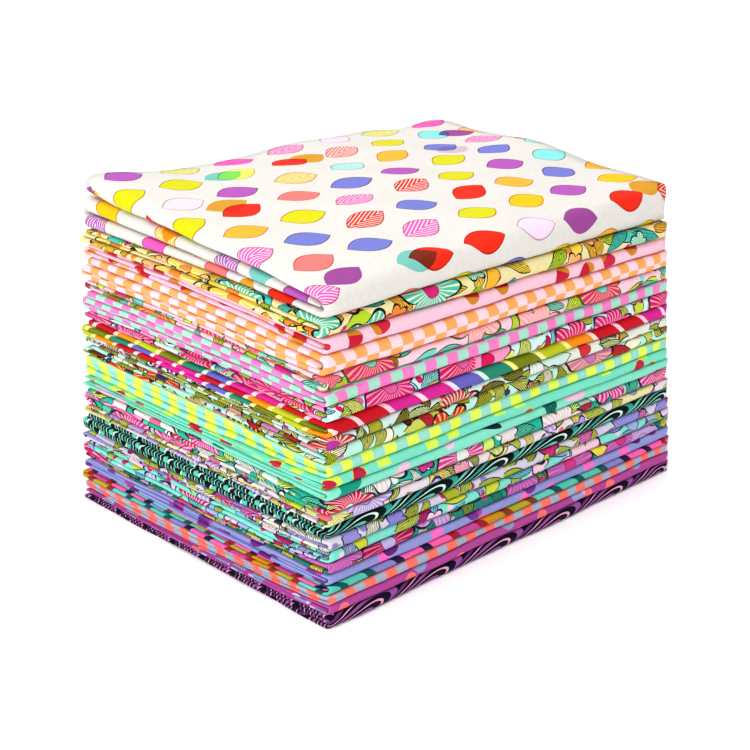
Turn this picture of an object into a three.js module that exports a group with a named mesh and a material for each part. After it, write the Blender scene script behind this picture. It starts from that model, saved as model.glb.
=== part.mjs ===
// A bundle of folded cotton cuts: a neat stack in which every cut is folded in half across its
// length and then in three, so that one round fold shows along the front (-Y), three folded rows
// show at the left end (-X), and the cut edges lie at the right end (+X) and the back (+Y).
// Units are millimetres, +Z is up, and the stack stands on z = 0 with its middle on the Z axis.
import * as THREE from "three";

// Folded size of the top and the bottom cut. The stack spreads a little towards its base, and its
// top has slipped a little to the right and to the back.
const TOP_LENGTH = 229;
const TOP_DEPTH = 171.5;
const BASE_LENGTH = 239;
const BASE_DEPTH = 183.5;
const SLIP_RIGHT = 3.5;
const SLIP_BACK = 4.4;

// How the doubled sheet lies in a folded cut.
const LAYERS = 3;
const CUT_GAP = 0.3; // air between two cuts of the stack
const FRONT_ROUNDNESS = 0.55; // how round the front fold is: 1 is a half circle, 0 is square
const TUCK = 3; // how far the middle layer's cut edge lies behind the front fold
const TAIL = 4; // how far the top layer's cut edge lies inside the back fold
const END_ROUNDING = 0.5; // share of its thickness left to a layer at its folded end
const FAR_CORNER = 7; // rounding in plan of the front fold's right end

// The stack's unevenness.
const RIGHT_SETTLING = 0.026; // share by which the stack is lower at its right end
const BACK_RIGHT_SHARE = 0.4; // how much of the left end's puffing the back right corner has
const PUFFING_POWER = 3; // how soon behind the front the left end is puffed: 1 is evenly
const WAVE_HEIGHT = 0.6; // rise and fall of the cuts at the top of the stack
const WAVE_LENGTH_X = 300;
const WAVE_LENGTH_Y = 400;
const WAVE_TURN = 0.35; // how far the wave shifts from one cut to the next, in radians

// The top cut lies loosely: its thickness at its two right corners, and the crown in its middle.
const TOP_CUT_FRONT_RIGHT = 17;
const TOP_CUT_BACK_RIGHT = 19.5;
const TOP_CUT_CROWN = 2.5;
const TOP_CUT_RIGHT_BULGE = 2.5; // rise in the middle of its right edge

// Soft swells and hollows of the top cut: the middle of each, how far it reaches, and its height.
const SWELL_COLUMNS = ["x", "y", "reach", "height"];
const SWELLS = [
  [-112, 88, 26, 2.5],
  [-52, 92, 26, -2.6],
  [40, 92, 34, 1.8],
  [98, 94, 18, -1.4],
  [118, 76, 18, 2.4],
  [116, 8, 26, 2.0],
  [112, -34, 22, -1.6],
  [-70, 10, 34, -1.4],
  [-10, -40, 30, 0.9],
].map((row) => Object.fromEntries(row.map((value, column) => [SWELL_COLUMNS[column], value])));

// Steps of the faceted surfaces. The top cut is the one whose swells show, so its steps are finer.
const FLAT_STEPS = 5;
const TOP_FLAT_STEPS = 10;
const BACK_FOLD_STEPS = 4;
const CORNER_STEPS = 3;
const SPAN_STEPS = 4; // steps between the ends
const TOP_SPAN_STEPS = 10;

// The cuts from the top of the stack down. front is a cut's height at the front left corner, left
// is its height along the left end, and air is the gap between its layers. right and back are
// how far a cut at the top would lie off its place in the stack, and turn is its yaw there in
// degrees. Lower cuts are pressed straighter. corner is the rounding in plan of the near corner.
const COLUMNS = ["name", "front", "left", "air", "right", "back", "turn", "corner", "colour"];
const CUTS = [
  ["cloth_01_leaf_scatter", 11.0, 24.7, 1.4, 0.5, 0.6, 0.3, 6, 0xf8f5f2],
  ["cloth_02_garden_floral", 8.7, 7.2, 0.7, -1.2, 0.2, -0.3, 6.5, 0xf3e9cf],
  ["cloth_03_berry_spot", 7.3, 6.8, 0.5, 0.6, 0.9, 0.2, 5, 0xf8cfe0],
  ["cloth_04_orange_check", 8.3, 11.9, 0.5, -0.4, 0.1, 0.1, 4, 0xfab37c],
  ["cloth_05_pink_floral", 6.7, 4.4, 0.4, 0.9, 0.7, -0.2, 4.5, 0xf0cfe2],
  ["cloth_06_pink_check", 6.0, 10.0, 0.4, -0.3, 0.5, 0.3, 3.5, 0xf59ad0],
  ["cloth_07_red_petal", 6.8, 4.8, 0.4, 0.4, -0.4, -0.1, 5, 0xd9dfe6],
  ["cloth_08_bright_bars", 6.5, 7.8, 0.4, -0.9, 0.3, 0.2, 6.5, 0xcf3d55],
  ["cloth_09_mint_floral", 5.5, 5.2, 0.4, 0.7, 0.8, -0.3, 6, 0xcfe9e0],
  ["cloth_10_amber_floral", 6.0, 4.8, 0.4, -0.2, 0.0, 0.1, 4.5, 0xbfe5d6],
  ["cloth_11_lime_check", 5.5, 11.0, 0.4, 0.3, 0.6, 0.2, 3.5, 0xd9f28a],
  ["cloth_12_aqua_berry", 5.5, 3.0, 0.4, -0.7, -0.3, -0.2, 3, 0x7fe0c6],
  ["cloth_13_mint_leaf", 5.5, 3.2, 0.4, 0.5, 0.4, 0.2, 4, 0x97dfc9],
  ["cloth_14_teal_floral", 6.0, 8.6, 0.4, -0.4, 0.9, -0.1, 5.5, 0x59b8a4],
  ["cloth_15_lime_floral", 5.0, 4.4, 0.4, 0.8, 0.1, 0.1, 4, 0xd3d68c],
  ["cloth_16_teal_wave", 5.5, 9.4, 0.4, -0.6, 0.5, -0.2, 5, 0x2f6f70],
  ["cloth_17_lavender_leaf", 5.5, 3.9, 0.4, 0.2, -0.2, 0.2, 4.5, 0xdcd8e6],
  ["cloth_18_blue_floral", 5.3, 7.7, 0.4, -0.5, 0.6, 0.1, 4, 0x93bfd8],
  ["cloth_19_deep_teal_floral", 5.2, 2.8, 0.4, 0.6, 0.2, -0.2, 5, 0x2f7f80],
  ["cloth_20_periwinkle_spot", 5.0, 5.4, 0.4, -0.3, 0.4, 0.1, 3, 0x8f92d8],
  ["cloth_21_dusk_bars", 4.2, 5.7, 0.4, 0.4, 0.7, -0.1, 3.5, 0x5fb3ad],
  ["cloth_22_coral_check", 4.6, 6.2, 0.4, -0.2, 0.1, 0.1, 3, 0xf58590],
  ["cloth_23_plum_spot", 5.0, 2.5, 0.4, 0.3, 0.3, 0.0, 2.5, 0xa9559f],
  ["cloth_24_plum_wave", 6.0, 2.8, 0.4, 0.0, 0.0, 0.0, 3, 0x4a2a5c],
].map((row) => Object.fromEntries(row.map((value, column) => [COLUMNS[column], value])));

// Height of the underside of every cut at one corner of the stack, from that corner's column.
function undersides(column) {
  const levels = new Array(CUTS.length);
  let height = 0;
  for (let i = CUTS.length - 1; i >= 0; i -= 1) {
    levels[i] = height;
    height += CUTS[i][column];
  }
  return levels;
}

const FRONT_LEVELS = undersides("front");
const LEFT_LEVELS = undersides("left");

// How far up the stack the underside of cut i lies, from 0 at the base to 1 under the top cut.
function softnessOf(i) {
  return FRONT_LEVELS[i] / FRONT_LEVELS[0];
}

// Height at (x, y) of the underside of cut i.
function bedHeight(i, x, y) {
  const across = x / BASE_LENGTH + 0.5;
  const behind = y / BASE_DEPTH + 0.5;
  const front = FRONT_LEVELS[i] * (1 - RIGHT_SETTLING * across);
  const puffed = (1 - (1 - behind) ** PUFFING_POWER) * (1 - (1 - BACK_RIGHT_SHARE) * across);
  const turn = WAVE_TURN * softnessOf(i) * CUTS.length;
  const alongWave = Math.sin((2 * Math.PI * x) / WAVE_LENGTH_X + turn);
  const acrossWave = Math.cos((2 * Math.PI * y) / WAVE_LENGTH_Y - turn / 2);
  const wave = WAVE_HEIGHT * softnessOf(i) * alongWave * acrossWave;
  return front + (LEFT_LEVELS[i] - FRONT_LEVELS[i]) * puffed + wave;
}

// Height that the swells add to the top cut at (x, y).
function swellHeight(x, y) {
  return SWELLS.reduce((sum, swell) => {
    const away = ((x - swell.x) ** 2 + (y - swell.y) ** 2) / swell.reach ** 2;
    return sum + swell.height * Math.exp(-away);
  }, 0);
}

// Thickness of the loose top cut at (x, y): its four corners, the crown between them, the rise of
// its right edge, and its swells.
function topThickness(x, y) {
  const across = (x - SLIP_RIGHT) / TOP_LENGTH + 0.5;
  const behind = (y - SLIP_BACK) / TOP_DEPTH + 0.5;
  const front = CUTS[0].front + (TOP_CUT_FRONT_RIGHT - CUTS[0].front) * across;
  const rear = CUTS[0].left + (TOP_CUT_BACK_RIGHT - CUTS[0].left) * across;
  const acrossHump = Math.max(0, 1 - (2 * across - 1) ** 2);
  const behindHump = Math.max(0, 1 - (2 * behind - 1) ** 2);
  const rise = TOP_CUT_CROWN * acrossHump * behindHump + TOP_CUT_RIGHT_BULGE * across * behindHump;
  return front + (rear - front) * behind + rise + swellHeight(x, y);
}

// Lower and upper bed of cut i at (x, y), with the air to its neighbours taken off.
function beds(i, x, y) {
  const low = bedHeight(i, x, y);
  const high = i === 0 ? low + topThickness(x, y) : bedHeight(i - 1, x, y);
  const lowAir = i === CUTS.length - 1 ? 0 : CUT_GAP / 2;
  const highAir = i === 0 ? 0 : CUT_GAP / 2;
  return { low: low + lowAir, high: high - highAir };
}

// Points of a straight run of the sheet's middle line, without its first point.
function run(line, y, z, steps) {
  const from = line[line.length - 1];
  for (let s = 1; s <= steps; s += 1) {
    line.push({ y: from.y + ((y - from.y) * s) / steps, z: from.z + ((z - from.z) * s) / steps });
  }
}

// Points of a clockwise bend of the sheet's middle line, without its first point.
function bend(line, centre, radius, startAngle, sweep, steps) {
  for (let s = 1; s <= steps; s += 1) {
    const angle = startAngle - (sweep * s) / steps;
    line.push({ y: centre.y + radius * Math.cos(angle), z: centre.z + radius * Math.sin(angle) });
  }
}

// Middle line of the sheet in a folded cut of this depth and thickness, from the cut edge of the
// middle layer round the back fold, along the bottom layer, up the front fold and along the top.
function foldLine(depth, thick, sheet, flatSteps) {
  const front = -depth / 2 + sheet / 2;
  const back = depth / 2 - sheet / 2;
  const bottomZ = sheet / 2;
  const middleZ = thick / 2;
  const topZ = thick - sheet / 2;
  const backRadius = (middleZ - bottomZ) / 2;
  const corner = sheet / 2 + FRONT_ROUNDNESS * (thick / 2 - sheet);
  const quarter = Math.PI / 2;
  const line = [{ y: front + TUCK, z: middleZ }];
  run(line, back - backRadius, middleZ, flatSteps);
  const backCentre = { y: back - backRadius, z: bottomZ + backRadius };
  bend(line, backCentre, backRadius, quarter, Math.PI, BACK_FOLD_STEPS);
  run(line, front + corner, bottomZ, flatSteps);
  bend(line, { y: front + corner, z: bottomZ + corner }, corner, -quarter, quarter, CORNER_STEPS);
  run(line, front, topZ - corner, 1);
  bend(line, { y: front + corner, z: topZ - corner }, corner, 2 * quarter, quarter, CORNER_STEPS);
  run(line, back - TAIL, topZ, flatSteps);
  return line;
}

// Closed outline of a sheet of this thickness round its middle line, anticlockwise in (y, z).
function outlineOf(line, sheet) {
  const outer = [];
  const inner = [];
  line.forEach((point, i) => {
    const before = line[Math.max(i - 1, 0)];
    const after = line[Math.min(i + 1, line.length - 1)];
    const intoY = point.y - before.y;
    const intoZ = point.z - before.z;
    const outY = after.y - point.y;
    const outZ = after.z - point.z;
    const into = Math.hypot(intoY, intoZ) || 1;
    const out = Math.hypot(outY, outZ) || 1;
    const alongY = intoY / into + outY / out;
    const alongZ = intoZ / into + outZ / out;
    const length = Math.hypot(alongY, alongZ);
    const normal = { y: -alongZ / length, z: alongY / length };
    outer.push(new THREE.Vector2(point.y + (normal.y * sheet) / 2, point.z + (normal.z * sheet) / 2));
    inner.push(new THREE.Vector2(point.y - (normal.y * sheet) / 2, point.z - (normal.z * sheet) / 2));
  });
  return [...inner, ...outer.reverse()];
}

// Stations along the length: the rounded folded end, the full sheet behind it, the span, and the
// cut end. drawIn is how much of its corner's rounding a station takes, to the right if positive.
function stationsOf(length, sheet, corner, spanSteps) {
  const left = -length / 2;
  const stations = [
    { x: left, share: END_ROUNDING, corner, drawIn: 1 },
    { x: left + sheet / 2, share: 1, corner, drawIn: 1 },
  ];
  for (let s = 1; s < spanSteps; s += 1) {
    stations.push({ x: left + (length * s) / spanSteps, share: 1, corner, drawIn: 0 });
  }
  stations.push({ x: length / 2, share: 1, corner: FAR_CORNER, drawIn: -1 });
  return stations;
}

// How far a corner rounded in plan draws an end in, at this distance behind the front.
function cornerDrawIn(fromFront, radius) {
  const into = radius - THREE.MathUtils.clamp(fromFront, 0, radius);
  return radius - Math.sqrt(radius ** 2 - into ** 2);
}

// Faces of a sheet carried through rings of points: its long sides, and a strip across each end.
function sheetFaces(ringCount, ringSize) {
  const indices = [];
  for (let s = 0; s + 1 < ringCount; s += 1) {
    for (let p = 0; p < ringSize; p += 1) {
      const here = s * ringSize + p;
      const next = s * ringSize + ((p + 1) % ringSize);
      indices.push(here, next, here + ringSize, next, next + ringSize, here + ringSize);
    }
  }
  const last = (ringCount - 1) * ringSize;
  for (let p = 0; p + 1 < ringSize / 2; p += 1) {
    const facing = ringSize - 1 - p; // the outer point across the sheet from inner point p
    indices.push(p, facing, p + 1, p + 1, facing, facing - 1);
    indices.push(last + p, last + p + 1, last + facing);
    indices.push(last + p + 1, last + facing - 1, last + facing);
  }
  return indices;
}

// The solid of cut i: its folded outline, carried along the stations and laid on the stack's beds.
function foldedCut(i) {
  const cut = CUTS[i];
  const softness = softnessOf(i);
  const length = BASE_LENGTH + (TOP_LENGTH - BASE_LENGTH) * softness;
  const depth = BASE_DEPTH + (TOP_DEPTH - BASE_DEPTH) * softness;
  const thick = cut.front - CUT_GAP;
  const sheet = (thick - (LAYERS - 1) * cut.air) / LAYERS;
  const isTop = i === 0;
  const line = foldLine(depth, thick, sheet, isTop ? TOP_FLAT_STEPS : FLAT_STEPS);
  const yaw = THREE.MathUtils.degToRad(cut.turn * softness);
  const placeX = (cut.right + SLIP_RIGHT) * softness;
  const placeY = (cut.back + SLIP_BACK) * softness;
  const stations = stationsOf(length, sheet, cut.corner, isTop ? TOP_SPAN_STEPS : SPAN_STEPS);
  const positions = [];
  for (const station of stations) {
    for (const point of outlineOf(line, sheet * station.share)) {
      const along = station.x + station.drawIn * cornerDrawIn(point.x + depth / 2, station.corner);
      const x = placeX + along * Math.cos(yaw) - point.x * Math.sin(yaw);
      const y = placeY + along * Math.sin(yaw) + point.x * Math.cos(yaw);
      const { low, high } = beds(i, x, y);
      positions.push(x, y, low + (point.y / thick) * (high - low));
    }
  }
  const geometry = new THREE.BufferGeometry();
  geometry.setAttribute("position", new THREE.Float32BufferAttribute(positions, 3));
  geometry.setIndex(sheetFaces(stations.length, 2 * line.length));
  geometry.computeVertexNormals();
  const material = new THREE.MeshStandardMaterial({ color: cut.colour, roughness: 0.9, metalness: 0 });
  const mesh = new THREE.Mesh(geometry, material);
  mesh.name = cut.name;
  return mesh;
}

const bundle = new THREE.Group();
bundle.name = "fabric_bundle";
CUTS.forEach((cut, i) => bundle.add(foldedCut(i)));

export default bundle;
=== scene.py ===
"""Bundle of folded printed cotton cuts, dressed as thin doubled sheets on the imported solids.

Every cut is folded in half across its length and then in three. Sizes of the stack are in
millimetres, as in the part's source, and are turned to metres when a mesh is made.
"""

import logging
import math
from dataclasses import dataclass
from enum import Enum
from typing import Any, Optional, Sequence, Union

import bpy
import numpy as np
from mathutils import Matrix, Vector


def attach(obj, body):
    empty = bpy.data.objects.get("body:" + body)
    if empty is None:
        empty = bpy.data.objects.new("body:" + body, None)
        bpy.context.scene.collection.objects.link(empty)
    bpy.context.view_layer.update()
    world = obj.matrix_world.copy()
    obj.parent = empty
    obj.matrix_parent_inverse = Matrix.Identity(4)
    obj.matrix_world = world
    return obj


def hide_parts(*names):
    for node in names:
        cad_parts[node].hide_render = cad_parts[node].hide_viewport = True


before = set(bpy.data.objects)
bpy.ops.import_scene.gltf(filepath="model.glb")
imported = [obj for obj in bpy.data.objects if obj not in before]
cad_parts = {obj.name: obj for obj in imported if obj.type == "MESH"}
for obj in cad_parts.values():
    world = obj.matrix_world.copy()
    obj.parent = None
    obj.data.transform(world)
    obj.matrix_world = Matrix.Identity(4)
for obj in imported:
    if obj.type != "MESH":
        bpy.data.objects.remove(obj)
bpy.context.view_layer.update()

LOG = logging.getLogger("fabric_bundle")
MM = 0.001
BODY = "root"
BAKE_MARGIN = 0.01  # room round each face's half of its own map, as a share of the map

Socket = Union[bpy.types.NodeSocket, bpy.types.Node, float, Sequence[float]]


class Motif(Enum):
    """Shapes that a scattered print can repeat."""

    LEAF = "leaf"
    BLOSSOM = "blossom"
    BERRY = "berry"
    BLOCK = "block"


class Face(Enum):
    """The two faces of a printed cloth, as the mesh attribute marks them."""

    PRINTED = 0.0
    REVERSE = 1.0


def linear(code: str, alpha: float = 1.0) -> tuple[float, float, float, float]:
    """Turn an sRGB hex colour into linear values.

    Args:
        code: six hex digits.
        alpha: opacity.

    Returns:
        Red, green, blue and alpha.
    """
    channels = [int(code[k:k + 2], 16) / 255 for k in (0, 2, 4)]
    red, green, blue = [c / 12.92 if c <= 0.04045 else ((c + 0.055) / 1.055) ** 2.4 for c in channels]
    return red, green, blue, alpha


class Kind(Enum):
    """Kinds of shader node that the materials are made of."""

    MATH = "ShaderNodeMath"
    VECTOR = "ShaderNodeVectorMath"
    TURN = "ShaderNodeVectorRotate"
    SPLIT = "ShaderNodeSeparateXYZ"
    JOIN = "ShaderNodeCombineXYZ"
    CHANNELS = "ShaderNodeSeparateColor"
    MIX = "ShaderNodeMix"
    RAMP = "ShaderNodeValToRGB"
    RANGE = "ShaderNodeMapRange"
    CELLS = "ShaderNodeTexVoronoi"
    CHECKS = "ShaderNodeTexChecker"
    NOISE = "ShaderNodeTexNoise"
    BUMP = "ShaderNodeBump"
    PLACE = "ShaderNodeTexCoord"
    FLAT_MAP = "ShaderNodeUVMap"
    MARK = "ShaderNodeAttribute"
    COVER = "ShaderNodeBsdfPrincipled"
    OUTPUT = "ShaderNodeOutputMaterial"


class NodeCanvas:
    """A material's node tree, with the one function that adds to it."""

    def __init__(self, material: bpy.types.Material) -> None:
        """Empty the material's node tree.

        Args:
            material: the material to paint.
        """
        material.use_nodes = True
        self.tree = material.node_tree
        self.tree.nodes.clear()

    def add(self, kind: Kind, *inputs: Socket, named: Optional[dict[str, Socket]] = None,
            **settings: Any) -> bpy.types.Node:
        """Add one node with its settings and links.

        Args:
            kind: which node it is.
            inputs: sockets, nodes or values for its usable inputs, in order.
            named: the same for inputs by name.
            settings: properties of the node; stops are a colour ramp's places and hex colours.

        Returns:
            The new node.
        """
        node = self.tree.nodes.new(kind.value)
        for name, value in settings.items():
            if name == "stops":
                self._fill_ramp(node, value)
            else:
                setattr(node, name, value)
        usable = [s for s in node.inputs if s.enabled and not s.is_unavailable]
        by_name = [(node.inputs[name], value) for name, value in (named or {}).items()]
        for socket, value in [*zip(usable, inputs), *by_name]:
            if isinstance(value, bpy.types.Node):
                value = next(s for s in value.outputs if s.enabled and not s.is_unavailable)
            if isinstance(value, bpy.types.NodeSocket):
                self.tree.links.new(value, socket)
            else:
                socket.default_value = value
        return node

    @staticmethod
    def _fill_ramp(node: bpy.types.Node, stops: Sequence[tuple[float, str]]) -> None:
        """Give a colour ramp its flat steps.

        Args:
            node: the ramp.
            stops: start and hex colour of each step.
        """
        ramp = node.color_ramp
        ramp.interpolation = "CONSTANT"
        while len(ramp.elements) < len(stops):
            ramp.elements.new(1.0)
        for element, (place, code) in zip(ramp.elements, stops):
            element.position = place
            element.color = linear(code)


def even_steps(codes: Sequence[str]) -> list[tuple[float, str]]:
    """Spread colours evenly over a ramp.

    Args:
        codes: hex colours in order.

    Returns:
        Start and colour of each step.
    """
    return [(k / len(codes), code) for k, code in enumerate(codes)]


# How the motifs are drawn. Lengths are shares of half a motif.
LEAF_VEIN_SLANT = 1.6  # how far a vein falls back on its way to the leaf's edge
LEAF_VEIN_TURN = 17.0  # radians of the veins' wave in half a leaf
PETAL_DEPTH = 0.4  # depth of the notches between petals
PETAL_STREAKS = 5.0  # streaks in one petal
BERRY_CAP = 0.35  # where a berry's cap starts
BLOCK_HATCH_TURN = 9.0  # radians of the hatching's wave in half a block
STREAK_LEVEL = 0.45  # height of a wave over which a streak is drawn
ROW_SHIFT = 1.7  # how much further a layer is moved along the cloth than across it, in its own steps
NEW_CHANCE = 17.3  # stretches a chance so far that the fraction left over is a chance of its own


@dataclass(frozen=True)
class Scatter:
    """One layer of loosely repeated motifs, in millimetres on the flat cloth."""

    motif: Motif
    pitch: float  # distance between motifs in a row
    length: float  # half the motif's length, or its radius
    width: float  # half the motif's width
    colours: tuple[str, ...]
    outline: Optional[str] = None  # colour of the drawn line round the motif
    streak: Optional[str] = None  # colour of veins, petal streaks, hatching or a berry's cap
    share: float = 1.0  # share of the places that hold a motif
    shift: float = 0.0  # moves the layer, so that layers differ
    jitter: float = 0.7  # how far the motifs stray from even rows
    rows: float = 0.0  # distance between rows, where it differs from the pitch
    stagger: float = 0.0  # how far each row starts after the one before, in pitches
    spread: float = 1.0  # how far the motifs turn about, in full turns
    streak_share: float = 1.0  # share of the motifs that have streaks
    line: float = 0.14  # breadth of the drawn line, as a share of the motif
    line_blend: str = "MIX"  # how the line lies on the motif's colour
    petals: int = 6
    overprint: bool = False  # whether the colour darkens what is under it

    def paint(self, canvas: NodeCanvas, place: Socket, under: Socket) -> bpy.types.Node:
        """Draw the layer over what is there.

        Args:
            canvas: the material's tree.
            place: position on the flat cloth in millimetres.
            under: colour under the layer.

        Returns:
            The node with the new colour.
        """
        local, chances = self._places(canvas, place)
        chance = chances.outputs
        half_turn = math.pi * self.spread
        angle = canvas.add(Kind.MATH, chance["Green"], 2 * half_turn, -half_turn,
                           operation="MULTIPLY_ADD")
        turned = canvas.add(Kind.TURN, named={"Vector": local, "Angle": angle}, rotation_type="Z_AXIS")
        inside, streaks = self._shape(canvas, turned)
        there = canvas.add(Kind.MATH, chance["Blue"], self.share, operation="LESS_THAN")
        filled = canvas.add(Kind.MATH, inside, 0.0, operation="GREATER_THAN")
        shown = canvas.add(Kind.MATH, filled, there, operation="MULTIPLY")
        tint = canvas.add(Kind.RAMP, chance["Red"], stops=even_steps(self.colours))
        if self.streak:
            turns = canvas.add(Kind.MATH, chance["Green"], NEW_CHANCE, operation="MULTIPLY")
            other = canvas.add(Kind.MATH, turns, operation="FRACT")
            chosen = canvas.add(Kind.MATH, other, self.streak_share, operation="LESS_THAN")
            drawn = canvas.add(Kind.MATH, streaks, chosen, operation="MULTIPLY")
            tint = canvas.add(Kind.MIX, drawn, tint, linear(self.streak), data_type="RGBA")
        if self.outline:
            rim = canvas.add(Kind.MATH, inside, self.line, operation="LESS_THAN")
            tint = canvas.add(Kind.MIX, rim, tint, linear(self.outline), data_type="RGBA",
                              blend_type=self.line_blend)
        blend = "MULTIPLY" if self.overprint else "MIX"
        return canvas.add(Kind.MIX, shown, under, tint, data_type="RGBA", blend_type=blend)

    def _places(self, canvas: NodeCanvas, place: Socket) -> tuple[bpy.types.Node, bpy.types.Node]:
        """Find the nearest motif's middle.

        Args:
            canvas: the material's tree.
            place: position on the flat cloth in millimetres.

        Returns:
            The position from that middle in millimetres, and three chances of that motif's own.
        """
        rows = self.rows or self.pitch
        axes = canvas.add(Kind.SPLIT, place).outputs
        first = self.shift * ROW_SHIFT
        row = canvas.add(Kind.MATH, axes["Y"], 1 / rows, first, operation="MULTIPLY_ADD")
        column = canvas.add(Kind.MATH, axes["X"], 1 / self.pitch, self.shift, operation="MULTIPLY_ADD")
        leaning = canvas.add(Kind.MATH, row, self.stagger, column, operation="MULTIPLY_ADD")
        grid = canvas.add(Kind.JOIN, leaning, row)
        cells = canvas.add(Kind.CELLS, named={"Vector": grid, "Scale": 1.0, "Randomness": self.jitter},
                           voronoi_dimensions="2D")
        off = canvas.add(Kind.VECTOR, grid, cells.outputs["Position"], operation="SUBTRACT")
        steps = canvas.add(Kind.SPLIT, off).outputs
        upright = canvas.add(Kind.MATH, steps["Y"], -self.stagger, steps["X"], operation="MULTIPLY_ADD")
        square = canvas.add(Kind.JOIN, upright, steps["Y"])
        local = canvas.add(Kind.VECTOR, square, (self.pitch, rows, 0.0), operation="MULTIPLY")
        return local, canvas.add(Kind.CHANNELS, cells.outputs["Color"])

    def _shape(self, canvas: NodeCanvas, local: Socket) -> tuple[bpy.types.Node, bpy.types.Node]:
        """Work out how far inside the motif a point is, and the motif's streaks.

        Args:
            canvas: the material's tree.
            local: position from the motif's middle, along it and across it.

        Returns:
            A node over 0 inside the motif, and one that is 1 on its streaks.
        """
        axes = canvas.add(Kind.SPLIT, local).outputs
        run = canvas.add(Kind.MATH, axes["X"], self.length, operation="DIVIDE")
        side = canvas.add(Kind.MATH, axes["Y"], self.width, operation="DIVIDE")
        breadth = canvas.add(Kind.MATH, side, operation="ABSOLUTE")
        squared = canvas.add(Kind.MATH, run, run, operation="MULTIPLY")
        if self.motif is Motif.LEAF:
            reach = canvas.add(Kind.MATH, squared, breadth, operation="ADD")
            slant = canvas.add(Kind.MATH, breadth, LEAF_VEIN_SLANT, run, operation="MULTIPLY_ADD")
            turns = canvas.add(Kind.MATH, slant, LEAF_VEIN_TURN, operation="MULTIPLY")
            veins = canvas.add(Kind.MATH, turns, operation="SINE")
        elif self.motif is Motif.BLOSSOM:
            around = canvas.add(Kind.MATH, side, run, operation="ARCTAN2")
            radius = canvas.add(Kind.VECTOR, local, operation="LENGTH")
            half_turns = canvas.add(Kind.MATH, around, self.petals / 2, operation="MULTIPLY")
            wave = canvas.add(Kind.MATH, half_turns, operation="COSINE")
            lobe = canvas.add(Kind.MATH, wave, operation="ABSOLUTE")
            notch, core = PETAL_DEPTH * self.length, (1 - PETAL_DEPTH) * self.length
            rim = canvas.add(Kind.MATH, lobe, notch, core, operation="MULTIPLY_ADD")
            reach = canvas.add(Kind.MATH, radius.outputs["Value"], rim, operation="DIVIDE")
            streaks_around = PETAL_STREAKS * self.petals
            turns = canvas.add(Kind.MATH, around, streaks_around, reach, operation="MULTIPLY_ADD")
            veins = canvas.add(Kind.MATH, turns, operation="SINE")
        elif self.motif is Motif.BERRY:
            side_squared = canvas.add(Kind.MATH, side, side, operation="MULTIPLY")
            reach = canvas.add(Kind.MATH, squared, side_squared, operation="ADD")
            veins = canvas.add(Kind.MATH, run, STREAK_LEVEL - BERRY_CAP, operation="ADD")
        else:
            far = canvas.add(Kind.MATH, run, operation="ABSOLUTE")
            reach = canvas.add(Kind.MATH, far, breadth, operation="MAXIMUM")
            turns = canvas.add(Kind.MATH, run, BLOCK_HATCH_TURN, operation="MULTIPLY")
            veins = canvas.add(Kind.MATH, turns, operation="SINE")
        inside = canvas.add(Kind.MATH, 1.0, reach, operation="SUBTRACT")
        streaks = canvas.add(Kind.MATH, veins, STREAK_LEVEL, operation="GREATER_THAN")
        return inside, streaks


@dataclass(frozen=True)
class MotifPrint:
    """A ground with layers of scattered motifs."""

    ground: str
    layers: tuple[Scatter, ...]

    def paint(self, canvas: NodeCanvas, place: Socket) -> Socket:
        """Draw the print.

        Args:
            canvas: the material's tree.
            place: position on the flat cloth in millimetres.

        Returns:
            The print's colour.
        """
        colour: Socket = linear(self.ground)
        for layer in self.layers:
            colour = layer.paint(canvas, place, colour)
        return colour


@dataclass(frozen=True)
class CheckPrint:
    """Plain two-colour squares."""

    first: str
    second: str
    square: float = 6.75  # side of a square, read off the photograph's scale
    slip: float = 0.0  # moves the squares round the front fold
    level: float = 0.5  # height in the checker's cubes, so that the flat cloth lies inside one

    def paint(self, canvas: NodeCanvas, place: Socket) -> Socket:
        """Draw the print.

        Args:
            canvas: the material's tree.
            place: position on the flat cloth in millimetres.

        Returns:
            The print's colour.
        """
        moved = canvas.add(Kind.VECTOR, place, (0.0, self.slip, self.level), operation="ADD")
        colours = linear(self.first), linear(self.second)
        return canvas.add(Kind.CHECKS, moved, *colours, 1 / self.square)


@dataclass(frozen=True)
class BarPrint:
    """Slanted bars in a fixed order of colours, with a line between each two."""

    bars: tuple[str, ...]
    lines: tuple[str, ...]
    pitch: float  # width of a bar and its line, across the cloth
    line_share: float  # share of that width that is line
    slant: float = -1.15  # how far a bar leans across the cloth for each step along it

    def paint(self, canvas: NodeCanvas, place: Socket) -> Socket:
        """Draw the print.

        Args:
            canvas: the material's tree.
            place: position on the flat cloth in millimetres.

        Returns:
            The print's colour.
        """
        axes = canvas.add(Kind.SPLIT, place).outputs
        lean = canvas.add(Kind.MATH, axes["Y"], self.slant, axes["X"], operation="MULTIPLY_ADD")
        count = canvas.add(Kind.MATH, lean, self.pitch, operation="DIVIDE")
        along = canvas.add(Kind.MATH, count, operation="FRACT")
        whole = canvas.add(Kind.MATH, count, operation="FLOOR")
        middle = canvas.add(Kind.MATH, whole, 0.5, operation="ADD")
        repeats = canvas.add(Kind.MATH, middle, float(len(self.bars)), operation="DIVIDE")
        turn = canvas.add(Kind.MATH, repeats, operation="FRACT")
        bar = canvas.add(Kind.RAMP, turn, stops=even_steps(self.bars))
        line = canvas.add(Kind.RAMP, turn, stops=even_steps(self.lines))
        between = canvas.add(Kind.MATH, along, self.line_share, operation="LESS_THAN")
        return canvas.add(Kind.MIX, between, bar, line, data_type="RGBA")


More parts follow.
